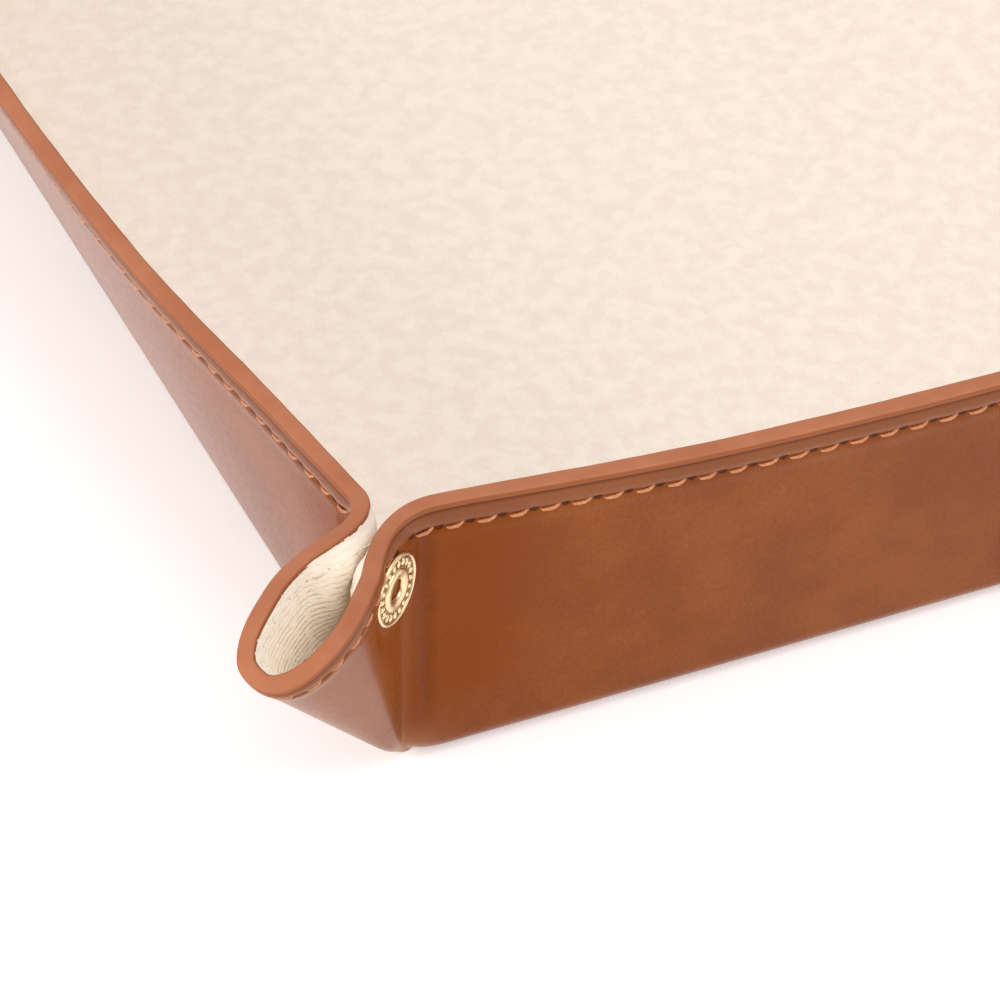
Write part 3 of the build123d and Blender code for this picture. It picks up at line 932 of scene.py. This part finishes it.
def stitches(stem, stretch, inside):
    """Saddle stitches: each dips into its holes, and slants a little."""
    bend, first, last, _ = stretch
    low = rim["s"][first % columns] + (0 if first >= 0 else -round_length)
    high = rim["s"][last % columns] + (round_length if last >= columns else 0)
    if low > high:
        low -= round_length
    numbers = [k for k in range(math.floor(low / pitch) - 1, math.ceil(high / pitch) + 1)
               if low <= (k + 0.5) * pitch < high]
    shape = bmesh.new()
    for count in range(len(numbers)):
        apart = Matrix.Translation((STITCH_SPACING * count, 0, 0))
        bmesh.ops.create_uvsphere(shape, u_segments=8, v_segments=7, radius=1,
                                  matrix=apart @ Matrix.Rotation(math.pi / 2, 4, "Y"))
    mesh = mesh_from(shape, f"{stem}_{'inner' if inside else 'outer'}_stitches")
    place = places(mesh)
    count = np.rint(place[:, 0] / STITCH_SPACING).astype(int)
    x = np.clip(place[:, 0] - STITCH_SPACING * count, -1, 1)
    ring = np.sqrt(np.maximum(1 - x * x, 0))
    blunt = np.where(ring > 1e-6, np.maximum(ring, 1e-6)**-0.4, 0)
    jitter = np.random.default_rng(7).normal(size=(len(numbers), 3))
    half, thick, lift = INNER_STITCH if inside else OUTER_STITCH
    half = half * (1 + 0.04 * jitter[count, 0])
    s = (np.array(numbers)[count] + 0.5) * pitch + x * half
    hook = 0.10 * x if inside else 0.28 + 0.05 * x - 0.55 * smooth(0.1, 1.0, -x)
    swell = 1 - 0.3 * x
    drop = (INNER_DROP if inside else STITCH_DROP) + hook + 0.03 * jitter[count, 1]
    drop = drop + place[:, 1] * blunt * thick * swell
    height = (lift - 0.55 * x**6 + place[:, 2] * blunt * thick * 0.85 * swell
              + 0.02 * jitter[count, 2])
    if inside:
        height = round_rim("lining_height", s)[:, 0] - height
    down = unit(round_rim("down", s)) * (drop[:, None] * round_rim("skew", s))
    move(mesh, round_rim("top", s) + down + unit(round_rim("stitch_normal", s)) * height[:, None])
    finished(mesh, bend, inner_thread if inside else thread,
             sharp=180)


for stem, *stretch in pieces_round_rim():
    sheet_pieces(f"{stem}_outside", stretch, LEATHER_ROWS, leather_offsets, leather_shades,
                 leather, f"{stem}_leather")
    lining_piece(stem, stretch)
    edge_piece(stem, stretch)
    stitches(stem, stretch, False)
    stitches(stem, stretch, True)


# Floor: a rounded sheet of leather below and of suede above, with the board between
def floor_sheet(name, low, high, finish, node):
    shape = bmesh.new()
    bmesh.ops.create_grid(shape, x_segments=1, y_segments=1, size=0.5)
    bmesh.ops.scale(shape, verts=shape.verts[:],
                    vec=(LENGTH - 2 * FLOOR_INSET, WIDTH - 2 * FLOOR_INSET, 1))
    bmesh.ops.bevel(shape, geom=shape.verts[:], affect="VERTICES", offset=FLOOR_CORNER,
                    offset_type="OFFSET", segments=8, profile=0.5, material=-1)
    raised(shape, high - low)
    bmesh.ops.translate(shape, verts=shape.verts[:], vec=(0, 0, low))
    bmesh.ops.recalc_face_normals(shape, faces=shape.faces[:])
    bmesh.ops.scale(shape, verts=shape.verts[:], vec=(MM, MM, MM))
    mesh = mesh_from(shape, name)
    uv = mesh.uv_layers.new(name="rim_run")
    uv.data.foreach_set("uv", np.tile(FAR_FROM_RIM, len(mesh.loops)))
    return finished(mesh, "floor", finish, (node,), sharp=30)


floor_sheet("floor_outside", 0, LEATHER, leather, "floor_leather")
floor_inside = floor_sheet("floor_inside", BOARD_TOP, FLOOR_TOP, suede, "floor_lining")


# Snap fasteners
def lathe(outline):
    """A closed outline of radius and height turned about the height's axis."""
    shape = bmesh.new()
    corners = [shape.verts.new((radius, 0, height)) for radius, height in outline]
    edges = [shape.edges.new(pair) for pair in zip(corners, corners[1:] + corners[:1])
             if not (pair[0].co.x == 0 and pair[1].co.x == 0)]
    bmesh.ops.spin(shape, geom=corners + edges, cent=(0, 0, 0), axis=(0, 0, 1), dvec=(0, 0, 0),
                   angle=2 * math.pi, steps=SNAP_TURNS, use_merge=True, use_duplicate=False)
    bmesh.ops.remove_doubles(shape, verts=shape.verts[:], dist=1e-5)
    bmesh.ops.recalc_face_normals(shape, faces=shape.faces[:])
    return shape


def snap_place(sx, sy, side):
    """The frame of a snap piece: its height axis points out of the ear's short or long side."""
    def turned(u, v):
        plan = OUT * u + SIDE * v
        return Vector((plan[0] * sx, plan[1] * sy, 0))
    edge = Vector((sx * LENGTH / 2, -sy * WIDTH / 2, SNAP_HEIGHT))
    axes = (turned(1, 0), Vector((0, 0, 1)), turned(0, side))
    return (Matrix.Translation(turned(SNAP_REACH, SNAP_SHIFT) + edge)
            @ Matrix(axes).transposed().to_4x4())


FLANGE = ((1.3, 1.2), (2.1, 1.2), (2.1, 3.5), (4.8, 3.5), (4.875, 3.6), (4.875, 3.85), (4.78, 4.0),
          (4.6, 4.07), (4.42, 4.03), (4.32, 3.92), (4.28, 3.78), (2.98, 3.78), (2.92, 3.95),
          (2.8, 4.1), (2.6, 4.18), (2.3, 4.2), (1.9, 4.16), (1.6, 4.05), (1.42, 3.88), (1.33, 3.6))
CAP = ((0, 1.2), (2.1, 1.2), (2.1, 3.5), (4.8, 3.5), (4.875, 3.58), (4.875, 3.8), (4.8, 3.95),
       (4.5, 4.15), (4.0, 4.33), (3.2, 4.5), (2.2, 4.58), (1.1, 4.6), (0, 4.6))
STUD = ((0, 1.2), (4.1, 1.2), (4.2, 1.1), (4.2, 0.85), (4.1, 0.75), (2.0, 0.75), (1.6, 0.65),
        (1.5, 0.5), (1.5, 0.1), (1.62, -0.05), (1.8, -0.2), (1.85, -0.35), (1.8, -0.5),
        (1.62, -0.65), (1.3, -0.74), (0, -0.75))
SOCKET = ((0, 1.2), (4.3, 1.2), (4.4, 1.1), (4.4, -0.35), (4.3, -0.52), (4.1, -0.62), (3.6, -0.65),
          (2.8, -0.65), (2.6, -0.58), (2.5, -0.45), (2.5, 0.9), (0, 0.9))


def flange_shape():
    """The flange with the ring of beads in its groove."""
    shape = lathe(FLANGE)
    bead = Matrix.Translation((3.64, 0, 3.8)) @ Matrix.Diagonal((0.6, 0.4, 0.3, 1))
    for count in range(FLANGE_BEADS):
        turn = Matrix.Rotation(2 * math.pi * (count + 0.5) / FLANGE_BEADS, 4, "Z")
        bmesh.ops.create_uvsphere(shape, u_segments=12, v_segments=8, radius=1, matrix=turn @ bead)
    return shape


def snap_piece(name, shape, matrix, body, node):
    """Places a snap piece. Its groove and its barrel get painted shade."""
    reach = np.array([math.hypot(v.co.x, v.co.y) for v in shape.verts])
    height = np.array([v.co.z for v in shape.verts])
    bmesh.ops.transform(shape, matrix=Matrix.Scale(MM, 4) @ matrix, verts=shape.verts[:])
    bmesh.ops.recalc_face_normals(shape, faces=shape.faces[:])
    mesh = mesh_from(shape, name)
    in_groove = smooth(4.02, 3.82, height) * (reach > 2.9) * (reach < 4.33)
    shade_by(mesh, "painted_shade", in_groove * 0.7 + (reach < 1.36) * (height < 3.7))
    finished(mesh, body, brass, (node,), sharp=40)


for corner in ("front_right", "front_left", "back_right", "back_left"):
    for kind, shape, side, half in (("flange", flange_shape(), 1, "short"),
                                    ("stud", lathe(STUD), 1, "short"),
                                    ("cap", lathe(CAP), -1, "long"),
                                    ("socket", lathe(SOCKET), -1, "long")):
        snap_piece(f"{corner}_{kind}", shape, snap_place(*corner_ways(corner), side),
                   f"{corner}_{half}_panel", f"{corner}_snap_{kind}")


# Camera, table and light. The camera's numbers were solved for a picture 1000 pixels wide.
PICTURE, LENS_PIXELS = 1000, 6000.0
VIEW_TURN, VIEW_RISE, VIEW_DISTANCE = math.radians(23.57), math.radians(39.02), 0.75
CORNER_ACROSS, CORNER_DOWN = 398.9, 769.0


def look():
    """Stands the camera so that the front right corner is at its place in the picture."""
    back = Vector((math.cos(VIEW_TURN) * math.cos(VIEW_RISE),
                   -math.sin(VIEW_TURN) * math.cos(VIEW_RISE), math.sin(VIEW_RISE)))
    right = Vector((math.sin(VIEW_TURN), math.cos(VIEW_TURN), 0))
    up = back.cross(right)
    corner = Vector((LENGTH / 2, -WIDTH / 2, 0)) * MM
    across = (CORNER_ACROSS - PICTURE / 2) / LENS_PIXELS * VIEW_DISTANCE
    above = -(CORNER_DOWN - PICTURE / 2) / LENS_PIXELS * VIEW_DISTANCE
    data = bpy.data.cameras.new("view")
    data.sensor_width, data.lens = 36.0, 36.0 * LENS_PIXELS / PICTURE
    data.clip_start, data.clip_end = 0.01, 20
    camera = bpy.data.objects.new("view", data)
    stand = corner + back * VIEW_DISTANCE - right * across - up * above
    camera.matrix_world = (Matrix.Translation(stand)
                           @ Matrix((right, up, back)).transposed().to_4x4())
    bpy.context.scene.collection.objects.link(camera)
    bpy.context.scene.camera = camera


def area_light(name, place, size, power, tint=(1, 1, 1)):
    """A round light that points at the tray's near half."""
    data = bpy.data.lights.new(name, "AREA")
    data.shape, data.size, data.energy, data.color = "DISK", size, power, tint
    lamp = bpy.data.objects.new(name, data)
    lamp.location = place
    lamp.rotation_mode = "QUATERNION"
    lamp.rotation_quaternion = (Vector((0.1, -0.05, 0)) - Vector(place)).to_track_quat("-Z", "Y")
    bpy.context.scene.collection.objects.link(lamp)


def stage():
    """A white table that glows a little, just below the tray, in a white room."""
    shape = bmesh.new()
    bmesh.ops.create_grid(shape, x_segments=1, y_segments=1, size=3)
    bmesh.ops.translate(shape, verts=shape.verts[:], vec=(0, 0, -0.2 * MM))
    mesh = mesh_from(shape, "table")
    made, _, shader, place = material("white_table", Roughness=0.8, Emission_Color=WHITE,
                                      Emission_Strength=0.4)
    tone = noise(place["Object"], 3.0, 2.0, 0.5)
    feed(shader["Base Color"], mixed(tone, colour(238, 238, 238), colour(242, 242, 242)))
    mesh.materials.append(made)
    table = bpy.data.objects.new("table", mesh)
    bpy.context.scene.collection.objects.link(table)
    world = bpy.data.worlds.new("studio")
    world.use_nodes = True
    background = world.node_tree.nodes["Background"].inputs
    feed(background["Color"], WHITE)
    feed(background["Strength"], 0.75)
    bpy.context.scene.world = world
    bpy.context.scene.view_settings.view_transform = "Standard"
    area_light("overhead", (0.3, -0.1, 1.5), 2.0, 3)
    area_light("side", (0.8, 0.3, 1.2), 1.0, 5.5)
    area_light("front", (0.2, -1.4, 0.6), 1.0, 8, (1, 0.93, 0.85))


look()
stage()
